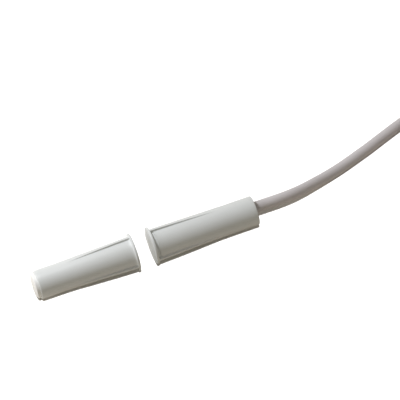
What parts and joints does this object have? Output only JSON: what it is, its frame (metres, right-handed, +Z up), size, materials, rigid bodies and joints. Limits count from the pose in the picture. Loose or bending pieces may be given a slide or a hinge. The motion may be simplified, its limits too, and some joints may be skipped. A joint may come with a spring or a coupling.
{
  "type": "recessed magnetic contact",
  "caption": "Recessed magnetic contact: a flanged magnet barrel faces a flanged reed switch barrel with a multi-core lead.",
  "frame": {"origin": "on the floor under the middle of the pair of barrels, which lie level on their flange rims", "axes": "+X along the barrels from the magnet half to the switch half and its lead, +Z up"},
  "size_m": [0.1831, 0.0564, 0.0172],
  "materials": {
    "abs_light_grey": "fine satin moulded",
    "abs_white": "satin moulded",
    "potting_compound": "cast, glossy",
    "reed_glass": "clear, slightly green",
    "reed_metal": "rolled",
    "lead_metal": "tinned",
    "sleeve": "translucent",
    "solder": "bright",
    "cable_jacket": "soft satin",
    "nylon_tie": "satin",
    "magnet_metal": "ground",
    "core_white": "satin",
    "core_brown": "satin",
    "core_green": "satin",
    "core_yellow": "satin",
    "copper": "bare stranded",
    "tinned_copper": "tinned strands"
  },
  "bodies": {
    "switch_half": {"switch_housing": "abs_light_grey", "potting": "potting_compound", "reed_glass": "reed_glass", "front_lead": "lead_metal", "rear_lead": "lead_metal", "lead_sleeve": "sleeve", "front_solder_joint": "solder", "rear_solder_joint": "solder", "tamper_solder_joint": "solder", "core_white": "core_white", "core_brown": "core_brown", "core_green": "core_green", "core_yellow": "core_yellow", "wire_white": "copper", "wire_brown": "copper", "wire_green": "copper", "wire_yellow": "copper", "cable_inlet": "cable_jacket", "strain_tie": "nylon_tie", "cable_run": "cable_jacket", "cable_coil": "cable_jacket", "coil_ties": "nylon_tie", "cable_tail": "cable_jacket", "tail_core_white": "core_white", "tail_wire_white": "tinned_copper", "tail_core_brown": "core_brown", "tail_wire_brown": "tinned_copper", "tail_core_green": "core_green", "tail_wire_green": "tinned_copper", "tail_core_yellow": "core_yellow", "tail_wire_yellow": "tinned_copper"},
    "magnet_half": {"magnet_housing": "abs_light_grey", "bar_magnet": "magnet_metal", "end_plug": "abs_white"},
    "front_reed": {"front_blade": "reed_metal"},
    "rear_reed": {"rear_blade": "reed_metal"}
  },
  "joints": [
    {"name": "magnet_approach", "type": "slide", "parent": "switch_half", "child": "magnet_half", "axis": [1, 0, 0], "range_m": [-0.025, 0.0052]},
    {"name": "front_reed_close", "type": "hinge", "parent": "switch_half", "child": "front_reed", "pos_m": [0.00828, 0.0001, 0.00557], "axis": [0, -1, 0], "range_deg": [0, 0.95], "stiffness_Nm_per_rad": 0.0002},
    {"name": "rear_reed_close", "type": "hinge", "parent": "switch_half", "child": "rear_reed", "pos_m": [0.01582, 0.0001, 0.00593], "axis": [0, -1, 0], "range_deg": [0, 0.95], "stiffness_Nm_per_rad": 0.0002}
  ],
  "couplings": [
    {"joint": "rear_reed_close", "follows": "front_reed_close", "ratio": 1}
  ]
}
